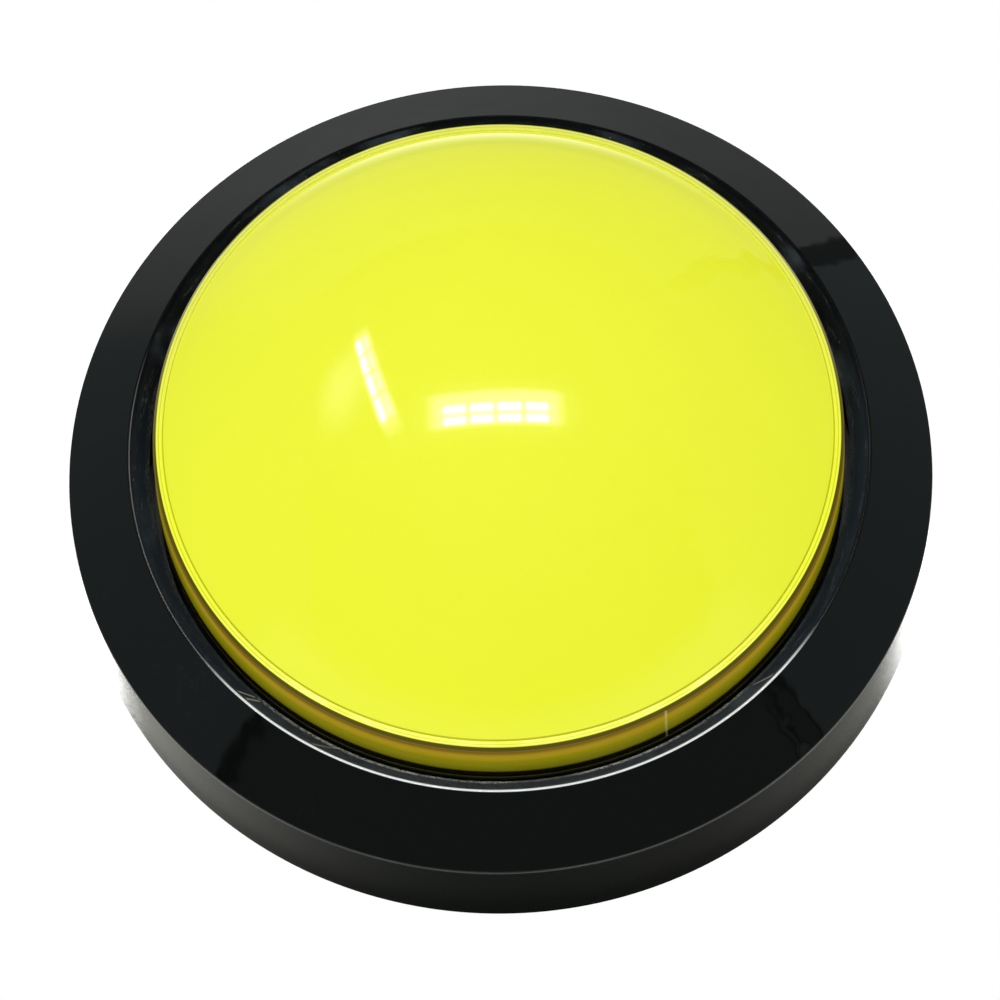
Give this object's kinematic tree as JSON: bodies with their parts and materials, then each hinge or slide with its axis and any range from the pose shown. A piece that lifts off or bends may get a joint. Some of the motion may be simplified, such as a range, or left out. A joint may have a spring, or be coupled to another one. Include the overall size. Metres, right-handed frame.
{
  "type": "illuminated dome push button",
  "caption": "Panel-mount push button with a wide yellow dome in a black bezel, a threaded stem, a lamp and a lever microswitch; used as a quiz buzzer",
  "frame": {"origin": "on the button's axis, at the level of the switch terminals' tips, the lowest point; the panel face of the bezel is at z = 0.070 m", "axes": "+Z is the button's axis and points out of the dome; +X points to the microswitch side; the right side of the bezel is +X with the dome up and the viewer at -Y"},
  "size_m": [0.1008, 0.1008, 0.111],
  "materials": {
    "bezel": "polished black plastic with fine scuffs",
    "base": "fine-textured black moulding",
    "plunger": "satin black moulding",
    "cap": "clear yellow plastic, polished",
    "diffuser": "translucent white",
    "spring": "drawn spring wire",
    "screw": "zinc plated",
    "washer": "zinc plated, stamped",
    "nut": "fine-textured black moulding",
    "holder": "off-white moulding",
    "terminal": "tinned, stamped",
    "lamp_base": "white moulding",
    "lamp_lens": "frosted clear",
    "switch_case": "black phenolic moulding",
    "switch_cover": "dark grey moulding",
    "lever": "stamped spring steel",
    "switch_button": "red moulding"
  },
  "bodies": {
    "housing": {"bezel_ring": "bezel", "base_stem": "base", "base_screw_1": "screw", "base_screw_2": "screw", "base_screw_3": "screw", "base_screw_4": "screw", "return_spring": "spring"},
    "dome": {"dome_cap": "cap", "diffuser": "diffuser", "plunger": "plunger"},
    "washer": {"clamp_washer": "washer"},
    "nut": {"mounting_nut": "nut"},
    "holder": {"lamp_holder": "holder", "lamp_contact_left": "terminal", "lamp_contact_right": "terminal", "lamp_base": "lamp_base", "lamp_lens": "lamp_lens", "switch_case": "switch_case", "switch_cover": "switch_cover", "terminal_common": "terminal", "terminal_open": "terminal", "terminal_closed": "terminal", "switch_screw_1": "screw", "switch_screw_2": "screw", "lever_pin": "screw"},
    "lever": {"switch_lever": "lever"},
    "actuator": {"switch_button": "switch_button"}
  },
  "joints": [
    {"name": "dome_press", "type": "slide", "parent": "housing", "child": "dome", "axis": [0, 0, -1], "range_m": [0, 0.004], "stiffness_N_per_m": 400, "springref_m": -0.008, "deforming": ["return_spring"]},
    {"name": "holder_twist", "type": "hinge", "parent": "housing", "child": "holder", "pos_m": [0, 0, 0.0385], "axis": [0, 0, 1], "range_deg": [0, 45]},
    {"name": "lever_tilt", "type": "hinge", "parent": "holder", "child": "lever", "pos_m": [0.00865, -0.011, 0.0254], "axis": [-1, 0, 0], "range_deg": [0, 13.8]},
    {"name": "actuator_press", "type": "slide", "parent": "holder", "child": "actuator", "axis": [0, 0, -1], "range_m": [0, 0.00125]},
    {"name": "washer_slide", "type": "slide", "parent": "housing", "child": "washer", "axis": [0, 0, 1], "range_m": [-0.013, 0.0055]},
    {"name": "nut_spin", "type": "hinge", "parent": "washer", "child": "nut", "pos_m": [0, 0, 0.058], "axis": [0, 0, 1], "range_deg": [-1559, 659]}
  ],
  "couplings": [
    {"joint": "lever_tilt", "follows": "dome_press", "rad_per_m": 60.1},
    {"joint": "actuator_press", "follows": "dome_press", "ratio": 0.3125},
    {"joint": "washer_slide", "follows": "nut_spin", "m_per_rad": 0.00047746}
  ]
}
